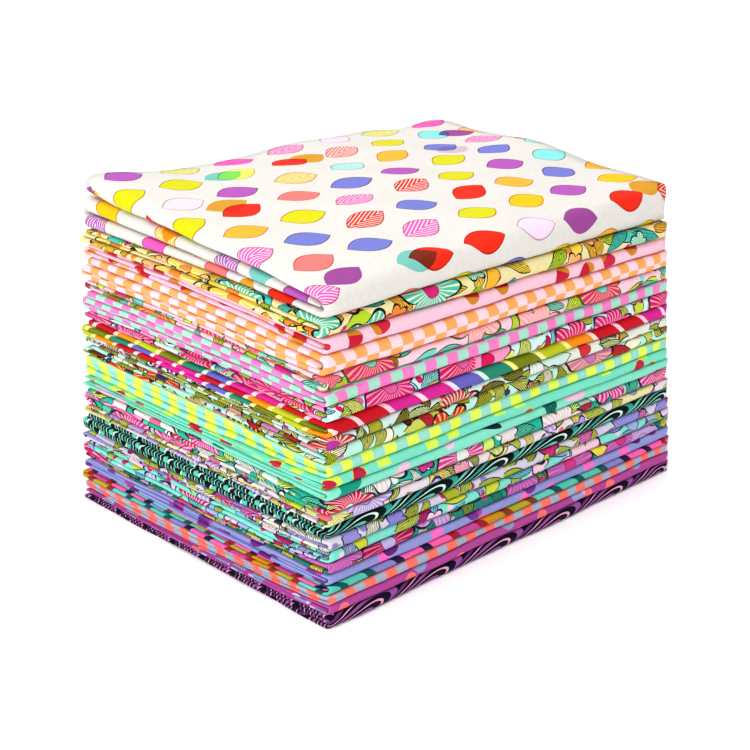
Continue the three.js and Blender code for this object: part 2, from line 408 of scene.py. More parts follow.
@dataclass(frozen=True)
class WavePrint:
    """Rows of leaning scallops, each of nested arcs, like rolling waves."""

    arcs: tuple[tuple[float, str], ...]  # start of each arc, as a share of the reach, and its colour
    width: float = 42.0  # of a scallop, across the cloth
    height: float = 11.0  # of a row, along it
    first_row: float = 0.35  # where the rows start, in heights
    stagger: float = 0.5  # how far each row starts after the one before, in widths
    lean: float = 0.45  # how far a scallop's foot lies to one side, in widths
    breadth: float = 2.0  # a scallop's width as its arcs are measured, in heights
    foot: float = 0.7  # where the arcs' middle lies in that breadth
    reach: float = 1.5  # distance that the arcs are spread over, in heights

    def paint(self, canvas: NodeCanvas, place: Socket) -> Socket:
        """Draw the print.

        Args:
            canvas: the material's tree.
            place: position on the flat cloth in millimetres.

        Returns:
            The print's colour.
        """
        axes = canvas.add(Kind.SPLIT, place).outputs
        level = canvas.add(Kind.MATH, axes["Y"], 1 / self.height, self.first_row,
                           operation="MULTIPLY_ADD")
        row = canvas.add(Kind.MATH, level, operation="FLOOR")
        up = canvas.add(Kind.MATH, level, operation="FRACT")
        widths = canvas.add(Kind.MATH, axes["X"], self.width, operation="DIVIDE")
        along = canvas.add(Kind.MATH, row, self.stagger, widths, operation="MULTIPLY_ADD")
        leaning = canvas.add(Kind.MATH, up, self.lean, along, operation="MULTIPLY_ADD")
        part = canvas.add(Kind.MATH, leaning, operation="FRACT")
        aside = canvas.add(Kind.MATH, part, self.breadth, -self.foot, operation="MULTIPLY_ADD")
        spot = canvas.add(Kind.JOIN, aside, up)
        far = canvas.add(Kind.VECTOR, spot, operation="LENGTH")
        share = canvas.add(Kind.MATH, far.outputs["Value"], self.reach, operation="DIVIDE")
        return canvas.add(Kind.RAMP, share, stops=self.arcs)


Print = Union[MotifPrint, CheckPrint, BarPrint, WavePrint]


@dataclass(frozen=True)
class PrintedCotton:
    """Printed plain-weave quilting cotton: matte and finely woven, clear colour on the printed face
    and a washed-out ghost of it on the reverse."""

    name: str
    print: Print
    roughness: float = 0.88
    sheen: float = 0.05
    specular: float = 0.12
    thread_pitch: float = 0.8  # threads are 0.4 mm apart; drawn coarser, so that the weave shows
    weave_height: float = 0.03  # millimetres
    weave_strength: float = 0.35
    reverse_colour: str = "F4F1EC"  # undyed cotton
    reverse_wash: float = 0.6  # share of it that shows on the reverse
    uneven_dye: float = 0.05  # how much darker the dye gets in places
    dye_patches: float = 0.35  # such places in a millimetre
    dye_detail: float = 3.0
    dye_range: tuple[float, float] = (0.3, 0.7)  # noise from which and up to which it changes

    def build(self) -> bpy.types.Material:
        """Make the material.

        Returns:
            The finished material.
        """
        material = bpy.data.materials.new(f"printed_quilting_cotton_{self.name}")
        canvas = NodeCanvas(material)
        cloth = canvas.add(Kind.FLAT_MAP, uv_map="Cloth")
        place = canvas.add(Kind.VECTOR, cloth, named={"Scale": 1 / MM}, operation="SCALE")
        colour = self.print.paint(canvas, place)
        side = canvas.add(Kind.MARK, attribute_name="reverse")
        wash = canvas.add(Kind.MATH, side.outputs["Fac"], self.reverse_wash, operation="MULTIPLY")
        faced = canvas.add(Kind.MIX, wash, colour, linear(self.reverse_colour), data_type="RGBA")
        patches = {"Vector": place, "Scale": self.dye_patches, "Detail": self.dye_detail}
        dye = canvas.add(Kind.NOISE, named=patches, noise_dimensions="2D")
        shade = canvas.add(Kind.RANGE, named={
            "Value": dye.outputs["Fac"],
            "From Min": self.dye_range[0],
            "From Max": self.dye_range[1],
            "To Min": 1 - self.uneven_dye,
            "To Max": 1.0,
        })
        dyed = canvas.add(Kind.VECTOR, faced, named={"Scale": shade.outputs["Result"]},
                          operation="SCALE")
        cover = canvas.add(Kind.COVER, named={
            "Base Color": dyed,
            "Roughness": self.roughness,
            "Sheen Weight": self.sheen,
            "Specular IOR Level": self.specular,
            "Normal": self._weave(canvas, place),
        })
        canvas.add(Kind.OUTPUT, cover)
        return material

    def _weave(self, canvas: NodeCanvas, place: Socket) -> bpy.types.Node:
        """Raise the threads of the weave.

        Args:
            canvas: the material's tree.
            place: position on the flat cloth in millimetres.

        Returns:
            The bump node.
        """
        turn = math.tau / self.thread_pitch
        turns = canvas.add(Kind.VECTOR, place, named={"Scale": turn}, operation="SCALE")
        swell = canvas.add(Kind.VECTOR, turns, operation="SINE")
        threads = canvas.add(Kind.SPLIT, swell).outputs
        weave = canvas.add(Kind.MATH, threads["X"], threads["Y"], operation="MULTIPLY")
        return canvas.add(Kind.BUMP, named={
            "Strength": self.weave_strength,
            "Distance": self.weave_height * MM,
            "Height": weave,
        })


@dataclass(frozen=True)
class MattPaper:
    """Uncoated matt paper over a light table: white with no shine and a faint grain of fibres, and
    so bright from below that hardly any shadow shows on it."""

    colour: str = "FEFDFD"
    glow: float = 0.06  # light that comes through from below
    roughness: float = 0.9
    fibres_per_metre: float = 700.0
    fibre_detail: float = 2.0
    grain_height: float = 0.1  # millimetres
    grain_strength: float = 0.1

    def build(self) -> bpy.types.Material:
        """Make the material.

        Returns:
            The finished material.
        """
        material = bpy.data.materials.new("matt_paper_floor")
        canvas = NodeCanvas(material)
        fibres = canvas.add(Kind.NOISE, named={
            "Vector": canvas.add(Kind.PLACE).outputs["Object"],
            "Scale": self.fibres_per_metre,
            "Detail": self.fibre_detail,
        })
        grain = canvas.add(Kind.BUMP, named={
            "Strength": self.grain_strength,
            "Distance": self.grain_height * MM,
            "Height": fibres.outputs["Fac"],
        })
        cover = canvas.add(Kind.COVER, named={
            "Base Color": linear(self.colour),
            "Roughness": self.roughness,
            "Normal": grain,
            "Emission Color": linear(self.colour),
            "Emission Strength": self.glow,
        })
        canvas.add(Kind.OUTPUT, cover)
        return material


class Layer(Enum):
    """Layers of a folded cut, by their place on the fold line."""

    MIDDLE = 0.0
    BOTTOM = 1.0
    TOP = 2.0


class Edge(Enum):
    """Edges of a folded cut that wander in and out, each with a start of its own in radians."""

    LEFT = 1
    RIGHT = 2
    FRONT = 3


@dataclass(frozen=True)
class Cut:
    """One folded cut of cloth, as the part's source places it."""

    name: str
    front: float  # height at the front left corner
    left: float  # height along the left end
    air: float  # gap between its layers
    right: float  # how far it has slipped to the right
    back: float  # how far it has slipped back
    turn: float  # how far it has turned, in degrees
    corner: float  # rounding in plan of the near corner
    print: Print


# Soft swells and hollows of the top face: middle in length and depth, reach, height.
SWELLS = (
    (-112.0, 88.0, 26.0, 2.5),
    (-52.0, 92.0, 26.0, -2.6),
    (40.0, 92.0, 34.0, 1.8),
    (98.0, 94.0, 18.0, -1.4),
    (118.0, 76.0, 18.0, 2.4),
    (116.0, 8.0, 26.0, 2.0),
    (112.0, -34.0, 22.0, -1.6),
    (-70.0, 10.0, 34.0, -1.4),
    (-10.0, -40.0, 30.0, 0.9),
)
# Waves of a bed's small rise and fall: share of its height, and lengths along and across.
RUFFLES = ((0.6, 97.0, 83.0), (0.4, 41.0, 47.0))
# Waves of a wandering edge: share of its reach, length, and which of the cut's phases it starts from.
EDGE_WAVES = ((0.6, 137.0, 4), (0.35, 61.0, 5), (0.2, 29.0, 0))
PHASES = 6  # phases that are drawn for each cut


@dataclass
class Stack:
    """The stack of cuts: its sizes, its beds and its unevenness, in millimetres. What the part's
    source also has keeps the source's values."""

    cuts: tuple[Cut, ...]
    top_length: float = 229
    top_depth: float = 171.5
    base_length: float = 239
    base_depth: float = 183.5
    slip_right: float = 3.5  # how far the top has slipped to the right of the base
    slip_back: float = 4.4  # how far it has slipped back
    cut_gap: float = 0.3
    right_settling: float = 0.026  # how much lower the beds lie at the right end, as a share
    back_right_share: float = 0.4  # share of the left end's extra height that the right end has
    puffing_power: float = 3  # how fast that height comes in behind the front
    wave_height: float = 0.6  # long swell of the beds, none at the base
    wave_length_x: float = 300
    wave_length_y: float = 400
    wave_turn: float = 0.35  # how far it moves on from one bed to the next, in radians
    top_cut_front_right: float = 17  # thickness of the top cut at its far front corner
    top_cut_back_right: float = 19.5  # the same at the back
    top_cut_crown: float = 2.5  # how far its middle rises
    top_cut_right_bulge: float = 2.5  # rise in the middle of its right edge
    ruffle_height: float = 0.4  # small rise and fall of each bed, beyond the solids'
    pillow_height: float = 0.7  # soft unevenness of the top face
    pillow_waves: tuple[float, float] = (83.0, 71.0)  # its lengths along and across
    pillow_phases: tuple[float, float] = (0.6, 1.1)
    slanted_share: float = 0.6  # height of the slanted waves in it
    slanted_lean: float = 0.7  # how far those lean
    slanted_length: float = 57.0
    layer_unevenness: float = 0.06  # how far the three layers' shares of a cut differ
    layer_slip: float = 0.9  # how far a layer's end fold stands out or in
    top_cut_shares: tuple[float, float, float] = (0.34, 0.26, 0.4)  # middle, bottom and top layer
    top_cut_reaches: tuple[float, float, float] = (1.8, 1.8, 2.6)  # rounds of its end folds, the same
    top_cut_slips: tuple[float, float, float] = (0.2, 0.6, 0.5)  # how far its end folds stand out
    seed: int = 11

    def __post_init__(self) -> None:
        """Add up the beds and draw the phases of the unevenness."""
        fronts = np.array([cut.front for cut in self.cuts])
        lefts = np.array([cut.left for cut in self.cuts])
        self.front_levels = fronts[::-1].cumsum()[::-1] - fronts
        self.left_levels = lefts[::-1].cumsum()[::-1] - lefts
        chance = np.random.default_rng(self.seed)
        count = len(self.cuts)
        layers = len(Layer)
        self.phases = chance.uniform(0, math.tau, (count, PHASES))
        uneven = chance.uniform(-self.layer_unevenness, self.layer_unevenness, (count, layers))
        shares = 1 / layers + uneven
        self.layer_shares = shares / shares.sum(1, keepdims=True)
        self.layer_shares[0] = self.top_cut_shares
        self.layer_slips = chance.uniform(-self.layer_slip, self.layer_slip, (count, layers))
        self.layer_slips[0] = self.top_cut_slips

    def softness(self, i: int) -> float:
        """Say how far up the stack cut i lies: 0 at the base and 1 under the top cut."""
        return float(self.front_levels[i] / self.front_levels[0])

    def bed(self, i: int, x: np.ndarray, y: np.ndarray) -> np.ndarray:
        """Height of the underside of cut i.

        Args:
            i: place of the cut, counted from the top.
            x: positions along the length.
            y: positions along the depth.

        Returns:
            Heights at those positions.
        """
        across = x / self.base_length + 0.5
        behind = y / self.base_depth + 0.5
        front = self.front_levels[i] * (1 - self.right_settling * across)
        from_front = 1 - (1 - behind) ** self.puffing_power
        puffed = from_front * (1 - (1 - self.back_right_share) * across)
        puffing = (self.left_levels[i] - self.front_levels[i]) * puffed
        soft = self.softness(i)
        turn = self.wave_turn * soft * len(self.cuts)
        along_wave = np.sin(math.tau * x / self.wave_length_x + turn)
        across_wave = np.cos(math.tau * y / self.wave_length_y - turn / 2)
        wave = self.wave_height * soft * along_wave * across_wave
        return front + puffing + wave + self._ruffle(i, x, y)

    def _ruffle(self, i: int, x: np.ndarray, y: np.ndarray) -> np.ndarray:
        """Small rise and fall of the bed under cut i, none where the stack stands.

        Args:
            i: place of the cut, counted from the top.
            x: positions along the length.
            y: positions along the depth.

        Returns:
            Heights to add.
        """
        if i == len(self.cuts) - 1:
            return np.zeros_like(x)
        waves = np.zeros_like(x)
        for k, (share, length, depth) in enumerate(RUFFLES):
            along_start, across_start = self.phases[i, 2 * k:2 * k + 2]
            along_wave = np.sin(math.tau * x / length + along_start)
            waves += share * along_wave * np.cos(math.tau * y / depth + across_start)
        return self.ruffle_height * waves

    def top_thickness(self, x: np.ndarray, y: np.ndarray) -> np.ndarray:
        """Thickness of the loose top cut.

        Args:
            x: positions along the length.
            y: positions along the depth.

        Returns:
            Thicknesses at those positions.
        """
        across = (x - self.slip_right) / self.top_length + 0.5
        behind = (y - self.slip_back) / self.top_depth + 0.5
        top = self.cuts[0]
        front = top.front + (self.top_cut_front_right - top.front) * across
        rear = top.left + (self.top_cut_back_right - top.left) * across
        across_hump = np.clip(1 - (2 * across - 1) ** 2, 0, None)
        behind_hump = np.clip(1 - (2 * behind - 1) ** 2, 0, None)
        rise = (self.top_cut_crown * across_hump + self.top_cut_right_bulge * across) * behind_hump
        along_pillow = np.sin(math.tau * x / self.pillow_waves[0] + self.pillow_phases[0])
        across_pillow = np.sin(math.tau * y / self.pillow_waves[1] + self.pillow_phases[1])
        slanted = np.sin(math.tau * (x + self.slanted_lean * y) / self.slanted_length)
        pillow = along_pillow * across_pillow + self.slanted_share * slanted
        swells = sum(height * np.exp(-((x - at_x) ** 2 + (y - at_y) ** 2) / reach ** 2)
                     for at_x, at_y, reach, height in SWELLS)
        return front + (rear - front) * behind + rise + self.pillow_height * pillow + swells

    def beds(self, i: int, x: np.ndarray, y: np.ndarray) -> tuple[np.ndarray, np.ndarray]:
        """Lower and upper bed of cut i, with the air to its neighbours taken off.

        Args:
            i: place of the cut, counted from the top.
            x: positions along the length.
            y: positions along the depth.

        Returns:
            Lower and upper heights.
        """
        low = self.bed(i, x, y)
        high = low + self.top_thickness(x, y) if i == 0 else self.bed(i - 1, x, y)
        low_air = 0 if i == len(self.cuts) - 1 else self.cut_gap / 2
        high_air = 0 if i == 0 else self.cut_gap / 2
        return low + low_air, high - high_air


@dataclass
class FoldedCloth:
    """One cut as a thin sheet: doubled along the length, then folded in three."""

    stack: Stack
    place: int
    front_roundness: float = 0.6  # how round the front fold's two corners are
    front_share: float = 0.3  # how far its thickness has gone over to the next layer's at those corners
    tuck: float = 0.5  # how far the middle layer's cut edge lies behind the front fold's inner side
    tail: float = 4.0  # how far the top layer's cut edge lies inside the back fold
    ply: float = 0.32  # thickness of the cloth
    air_share: float = 0.6  # share of the solid's air that is left between the layers
    top_air_share: float = 0.15  # the same for the loose top cut
    end_reach: float = 0.9  # length of an end fold's round, in halves of its layer
    right_corner: float = 7.0  # rounding of the far front corner
    proud: float = 1.0  # how far the ends stand out from the solid's
    flat_steps: int = 22
    back_fold_steps: int = 8
    corner_steps: int = 7
    front_steps: int = 2
    span_steps: int = 30
    end_fold_steps: int = 8
    edge_wave: float = 0.7  # how far the folds wander in and out
    edge_reach: float = 28.0  # how far in from an edge that wandering dies away
    thinning: float = 0.05  # how far a layer's thickness comes and goes along the fold line
    thinning_length: float = 73.0
    pinch: float = 0.65  # how far the inner layer is pressed flat at the front
    pinch_reach: float = 6.0  # how far from the front that goes

    def __post_init__(self) -> None:
        """Work out the cut's own sizes."""
        self.cut = self.stack.cuts[self.place]
        soft = self.stack.softness(self.place)
        self.length = self.stack.base_length + (self.stack.top_length - self.stack.base_length) * soft
        self.length += 2 * self.proud
        self.depth = self.stack.base_depth + (self.stack.top_depth - self.stack.base_depth) * soft
        self.thick = self.cut.front - self.stack.cut_gap
        self.air = self.cut.air * self.air_share
        self.reaches = np.full(len(Layer), self.end_reach)
        if self.place == 0:
            self.air = self.cut.air * self.top_air_share
            self.reaches = np.array(self.stack.top_cut_reaches)
        cloth_height = self.thick - (len(Layer) - 1) * self.air
        self.sheets = cloth_height * self.stack.layer_shares[self.place]
        self.yaw = math.radians(self.cut.turn * soft)
        self.right = (self.cut.right + self.stack.slip_right) * soft
        self.back = (self.cut.back + self.stack.slip_back) * soft

    @staticmethod
    def _run(start: tuple[float, float], end: tuple[float, float], normal: tuple[float, float],
             layers: tuple[float, float], steps: int) -> np.ndarray:
        """Straight stretch of the fold line.

        Args:
            start: first point in depth and height.
            end: last point.
            normal: its outer side.
            layers: place among the layers at its start and end.
            steps: number of steps.

        Returns:
            Rows of depth, height, normal and layer, without the last point.
        """
        share = np.arange(steps)[:, None] / steps
        points = np.array(start) + (np.array(end) - np.array(start)) * share
        layer = layers[0] + (layers[1] - layers[0]) * share
        return np.hstack([points, np.tile(normal, (steps, 1)), layer])

    @staticmethod
    def _bend(centre: tuple[float, float], radius: float, angles: tuple[float, float],
              layers: tuple[float, float], steps: int) -> np.ndarray:
        """Round stretch of the fold line, turning clockwise.

        Args:
            centre: middle of the bend in depth and height.
            radius: its radius.
            angles: its first and last angle.
            layers: place among the layers at its start and end.
            steps: number of steps.

        Returns:
            Rows of depth, height, normal and layer, without the last point.
        """
        share = np.arange(steps)[:, None] / steps
        angle = angles[0] + (angles[1] - angles[0]) * share
        normal = np.hstack([np.cos(angle), np.sin(angle)])
        layer = layers[0] + (layers[1] - layers[0]) * share
        return np.hstack([np.array(centre) + radius * normal, normal, layer])

    def fold_line(self) -> np.ndarray:
        """Middle line of the doubled sheet: middle layer, back fold, bottom, front fold, top.

        Returns:
            Rows of depth, height, outer normal and layer.
        """
        half_middle, half_bottom, half_top = self.sheets / 2
        bottom = half_bottom
        middle = 2 * half_bottom + self.air + half_middle
        top = self.thick - half_top
        low_front = -self.depth / 2 + half_bottom
        high_front = -self.depth / 2 + half_top
        back = self.depth / 2 - max(half_middle, half_bottom)
        fold = (middle - bottom) / 2
        low_corner = half_bottom + self.front_roundness * (self.thick / 2 - 2 * half_bottom)
        high_corner = half_top + self.front_roundness * (self.thick / 2 - 2 * half_top)
        inner_end = max(low_front + half_bottom, high_front + half_top) + self.tuck
        quarter = math.pi / 2
        up, down, ahead = (0.0, 1.0), (0.0, -1.0), (-1.0, 0.0)
        at_middle, at_bottom, at_top = Layer.MIDDLE.value, Layer.BOTTOM.value, Layer.TOP.value
        low_turn, high_turn = at_bottom + self.front_share, at_top - self.front_share
        back_start, low_end, high_start = back - fold, low_front + low_corner, high_front + high_corner
        low_height, high_height = bottom + low_corner, top - high_corner
        top_end = back - self.tail
        return np.vstack([
            self._run((inner_end, middle), (back_start, middle), up, (at_middle, at_middle),
                      self.flat_steps),
            self._bend((back_start, bottom + fold), fold, (quarter, -quarter), (at_middle, at_bottom),
                       self.back_fold_steps),
            self._run((back_start, bottom), (low_end, bottom), down, (at_bottom, at_bottom),
                      self.flat_steps),
            self._bend((low_end, low_height), low_corner, (-quarter, -2 * quarter),
                       (at_bottom, low_turn), self.corner_steps),
            self._run((low_front, low_height), (high_front, high_height), ahead,
                      (low_turn, high_turn), self.front_steps),
            self._bend((high_start, high_height), high_corner, (2 * quarter, quarter),
                       (high_turn, at_top), self.corner_steps),
            self._run((high_start, top), (top_end, top), up, (at_top, at_top), self.flat_steps),
            np.array([[top_end, top, *up, at_top]]),
        ])

    def _by_layer(self, values: np.ndarray) -> np.ndarray:
        """Spread one value a layer along the fold line, as a column."""
        places = [layer.value for layer in Layer]
        return np.interp(self.fold_line()[:, 4], places, values)[:, None]

    def cross_steps(self) -> tuple[np.ndarray, np.ndarray, np.ndarray]:
        """The doubled sheet across the cut: upper ply, end fold, lower ply.

        Returns:
            Share of the way to the end fold, cosine of the end fold's turn, and side of the middle
            line.
        """
        turn = np.linspace(math.pi / 2, 3 * math.pi / 2, self.end_fold_steps + 1)
        ahead = np.linspace(0, 1, self.span_steps, endpoint=False)
        share = np.concatenate([ahead, np.ones_like(turn), ahead[::-1]])
        round_part = np.concatenate([np.zeros_like(ahead), np.cos(turn), np.zeros_like(ahead)])
        side = np.concatenate([np.ones_like(ahead), np.sin(turn), -np.ones_like(ahead)])
        return share, round_part, side

    def _wander(self, along: np.ndarray, edge: Edge) -> np.ndarray:
        """How far an edge wanders in and out along its run.

        Args:
            along: distances along the edge.
            edge: which edge it is.

        Returns:
            Offsets in millimetres.
        """
        starts = self.stack.phases[self.place] + edge.value
        waves = np.zeros_like(along)
        for share, length, phase in EDGE_WAVES:
            waves += share * np.sin(math.tau * along / length + starts[phase])
        return self.edge_wave * waves

    @staticmethod
    def _rounding(from_front: np.ndarray, radius: float) -> np.ndarray:
        """How far a rounded corner draws an end in, by distance from the front.

        Args:
            from_front: distances from the front of the cut.
            radius: the corner's radius.

        Returns:
            Distances in millimetres.
        """
        into = radius - np.clip(from_front, 0, radius)
        return radius - np.sqrt(radius ** 2 - into ** 2)

    def face_points(self, inset: float) -> np.ndarray:
        """Points of one face of the sheet.

        Args:
            inset: 0 for the printed face, the cloth's thickness for the reverse.

        Returns:
            Positions in millimetres, by fold line and cross line.
        """
        fold = self.fold_line()
        run = self.fold_run()[:, None]
        share, round_part, side = self.cross_steps()
        half = self._by_layer(self.sheets / 2)
        swell = np.sin(math.tau * run / self.thinning_length + self.stack.phases[self.place, 2])
        thinned = 1 - self.thinning * (1 - swell)
        pressed = 1 - self.pinch * np.exp(-(run / self.pinch_reach) ** 2)
        off = side * (half * thinned * pressed - inset)
        reach = self._by_layer(self.reaches * self.sheets / 2) * pressed
        left_end = -self.length / 2 - self._by_layer(self.stack.layer_slips[self.place]) + reach
        x = self.length / 2 + (left_end - self.length / 2) * share + (reach - inset) * round_part
        y = fold[:, 0:1] + off * fold[:, 2:3]
        z = fold[:, 1:2] + off * fold[:, 3:4]
        from_left, from_right = x + self.length / 2, self.length / 2 - x
        from_front = y + self.depth / 2
        near_left = np.clip(1 - from_left / self.edge_reach, 0, 1) ** 2
        near_right = np.clip(1 - from_right / self.edge_reach, 0, 1) ** 2
        near_front = np.clip(1 - from_front / self.edge_reach, 0, 1) ** 2
        left_move = self._wander(run, Edge.LEFT) + self._rounding(from_front, self.cut.corner)
        right_move = self._wander(run, Edge.RIGHT) - self._rounding(from_front, self.right_corner)
        x_out = x + left_move * near_left + right_move * near_right
        y_out = y + self._wander(x, Edge.FRONT) * near_front
        wide = self.right + x_out * math.cos(self.yaw) - y_out * math.sin(self.yaw)
        deep = self.back + x_out * math.sin(self.yaw) + y_out * math.cos(self.yaw)
        low, high = self.stack.beds(self.place, wide, deep)
        return np.stack([wide, deep, low + z / self.thick * (high - low)], -1)

    def fold_run(self) -> np.ndarray:
        """Distance along the fold line from its start."""
        steps = np.linalg.norm(np.diff(self.fold_line()[:, :2], axis=0), axis=1)
        return np.concatenate([[0.0], steps.cumsum()])

    def flat_places(self, points: np.ndarray) -> np.ndarray:
        """Places on the flat cloth of the printed face's points.

        Args:
            points: positions by fold line and cross line.

        Returns:
            Distance across the cloth, even along the plies and as long as the round on an end fold,
            and distance along its longer ply, from the middle of the front fold.
        """
        straight = np.abs(np.diff(self.cross_steps()[0])) * self.length
        rounds = np.linalg.norm(np.diff(points, axis=1), axis=2)
        steps = np.where(straight > 0, straight, rounds)
        across = np.pad(steps.cumsum(1), ((0, 0), (1, 0)))
        lengths = np.linalg.norm(np.diff(points, axis=0), axis=2)
        longer = np.maximum(lengths, lengths[:, ::-1])
        longer[:, self.span_steps:-self.span_steps] = longer[:, [self.span_steps]]
        along = np.pad(longer.cumsum(0), ((1, 0), (0, 0)))
        front_layer = (Layer.BOTTOM.value + Layer.TOP.value) / 2
        front = np.argmin(np.abs(self.fold_line()[:, 4] - front_layer))
        return np.stack([across, along - along[front]], -1)

    def build(self) -> bpy.types.Object:
        """Make the sheet's mesh with its marks and flat-cloth coordinates.

        Returns:
            The new object.
        """
        printed = self.face_points(0.0)
        reverse = self.face_points(self.ply)
        rows, columns = printed.shape[:2]
        count = rows * columns
        grid = np.arange(count).reshape(rows, columns)
        corners = [grid[:-1, :-1], grid[1:, :-1], grid[1:, 1:], grid[:-1, 1:]]
        outer = np.stack(corners, -1).reshape(-1, 4)
        inner = outer[:, ::-1] + count
        edge = np.concatenate([grid[0, :-1], grid[:-1, -1], grid[-1, :0:-1], grid[:0:-1, 0]])
        after = np.roll(edge, -1)
        rim = np.stack([edge, after, after + count, edge + count], -1)
        faces = np.vstack([outer, inner, rim])
        points = np.vstack([printed.reshape(-1, 3), reverse.reshape(-1, 3)]) * MM
        name = self.cut.name.replace("cloth", "sheet")
        mesh = bpy.data.meshes.new(name)
        mesh.from_pydata(points.tolist(), [], faces.tolist())
        mesh.shade_smooth()
        side = mesh.attributes.new("reverse", "FLOAT", "POINT")
        marks = np.repeat([Face.PRINTED.value, Face.REVERSE.value], count)
        side.data.foreach_set("value", marks.astype(np.float32))
        self._lay_out(mesh, faces, printed)
        piece = bpy.data.objects.new(name, mesh)
        bpy.context.scene.collection.objects.link(piece)
        return piece

    def _lay_out(self, mesh: bpy.types.Mesh, faces: np.ndarray, points: np.ndarray) -> None:
        """Give the mesh its flat-cloth map in metres, and a map with each face in a place of its own.

        Args:
            mesh: the sheet's mesh.
            faces: its faces.
            points: positions of its printed face, by fold line and cross line.
        """
        rows, columns = points.shape[:2]
        printed = (rows - 1) * (columns - 1)
        flat = self.flat_places(points).reshape(-1, 2)
        source = faces % (rows * columns)
        cloth = mesh.uv_layers.new(name="Cloth")
        cloth.data.foreach_set("uv", (flat[source].reshape(-1) * MM).astype(np.float32))
        share = (flat - flat.min(0)) / np.ptp(flat, 0)
        half_map = np.array([0.5, 1.0])
        spread = share[source] * (half_map - 2 * BAKE_MARGIN) + BAKE_MARGIN
        spread[printed:2 * printed, :, 0] += half_map[0]
        bake = mesh.uv_layers.new(name="OFBake")
        bake.data.foreach_set("uv", spread.reshape(-1).astype(np.float32))

    def dress(self, piece: bpy.types.Object) -> None:
        """Give the sheet its cloth, hang it from the stack's body and hide the solid that it stands
        for.

        Args:
            piece: the sheet.
        """
        cotton = PrintedCotton(self.cut.name.removeprefix("cloth_"), self.cut.print)
        piece.data.materials.append(cotton.build())
        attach(piece, BODY)
        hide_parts(self.cut.name)


@dataclass(frozen=True)
class Softbox:
    """A square soft light aimed at the stack. Lengths are in metres."""

    name: str
    place: tuple[float, float, float]
    side: float
    power: float  # watts
    aim: tuple[float, float, float] = (0.0, 0.0, 0.07)

    def hang(self) -> None:
        """Put the light in its place."""
        light = bpy.data.lights.new(self.name, "AREA")
        light.shape = "SQUARE"
        light.size = self.side
        light.energy = self.power
        box = bpy.data.objects.new(self.name, light)
        box.location = self.place
        ahead = Vector(self.aim) - Vector(self.place)
        box.rotation_euler = ahead.to_track_quat("-Z", "Y").to_euler()
        bpy.context.scene.collection.objects.link(box)


@dataclass(frozen=True)
class Studio:
    """A plain white floor, soft light and the photograph's camera. Lengths are in metres."""

    softboxes: tuple[Softbox, ...] = (
        Softbox("ceiling_softbox", (0.0, 0.4, 2.3), 5.5, 91.0),
        Softbox("left_softbox", (-1.35, -0.25, 0.65), 0.8, 7.2),
        Softbox("front_softbox", (-0.35, -1.3, 0.85), 0.8, 3.3),
    )
    floor_side: float = 14.0
    camera_place: tuple[float, float, float] = (-0.545889, -0.567994, 0.369794)
    azimuth: float = -43.539
    elevation: float = 21.523
    focal_pixels: float = 1700.0
    picture_pixels: float = 750.0
    sensor: float = 36.0
    sky: str = "FFFFFF"
    sky_strength: float = 0.36

    def build(self) -> None:
        """Set up the floor, the light and the camera."""
        self._floor()
        self._sky()
        for softbox in self.softboxes:
            softbox.hang()
        self._camera()
        bpy.context.scene.view_settings.view_transform = "Standard"
        bpy.context.scene.view_settings.look = "Medium High Contrast"

    def _floor(self) -> None:
        """Lay the floor that the stack stands on."""
        half = self.floor_side / 2
        corners = [(-half, -half, 0.0), (half, -half, 0.0), (half, half, 0.0), (-half, half, 0.0)]
        mesh = bpy.data.meshes.new("floor")
        mesh.from_pydata(corners, [], [(0, 1, 2, 3)])
        floor = bpy.data.objects.new("floor", mesh)
        bpy.context.scene.collection.objects.link(floor)
        mesh.materials.append(MattPaper().build())

    def _sky(self) -> None:
        """Fill the room with even white light."""
        world = bpy.data.worlds.new("white_room")
        bpy.context.scene.world = world
        world.use_nodes = True
        background = world.node_tree.nodes["Background"]
        background.inputs["Color"].default_value = linear(self.sky)
        background.inputs["Strength"].default_value = self.sky_strength

    def _camera(self) -> None:
        """Stand the camera where the photograph was taken from."""
        data = bpy.data.cameras.new("photo_camera")
        data.sensor_width = self.sensor
        data.lens = self.focal_pixels / self.picture_pixels * self.sensor
        azimuth, elevation = math.radians(self.azimuth), math.radians(self.elevation)
        level = math.cos(elevation)
        behind = Vector((math.sin(azimuth) * level, -math.cos(azimuth) * level, math.sin(elevation)))
        camera = bpy.data.objects.new("photo_camera", data)
        camera.location = self.camera_place
        camera.rotation_euler = (-behind).to_track_quat("-Z", "Y").to_euler()
        bpy.context.scene.collection.objects.link(camera)
        bpy.context.scene.camera = camera


BRIGHT_LEAVES = ("E8301A", "EE5FB8", "F4C414", "B45CB8", "8CE2DC", "F2807A", "D8D414", "7A80CC",
                 "F4B63C", "EED8EC", "E8301A", "EEF06A", "D8D414", "F4B63C", "EE5FB8", "B45CB8")


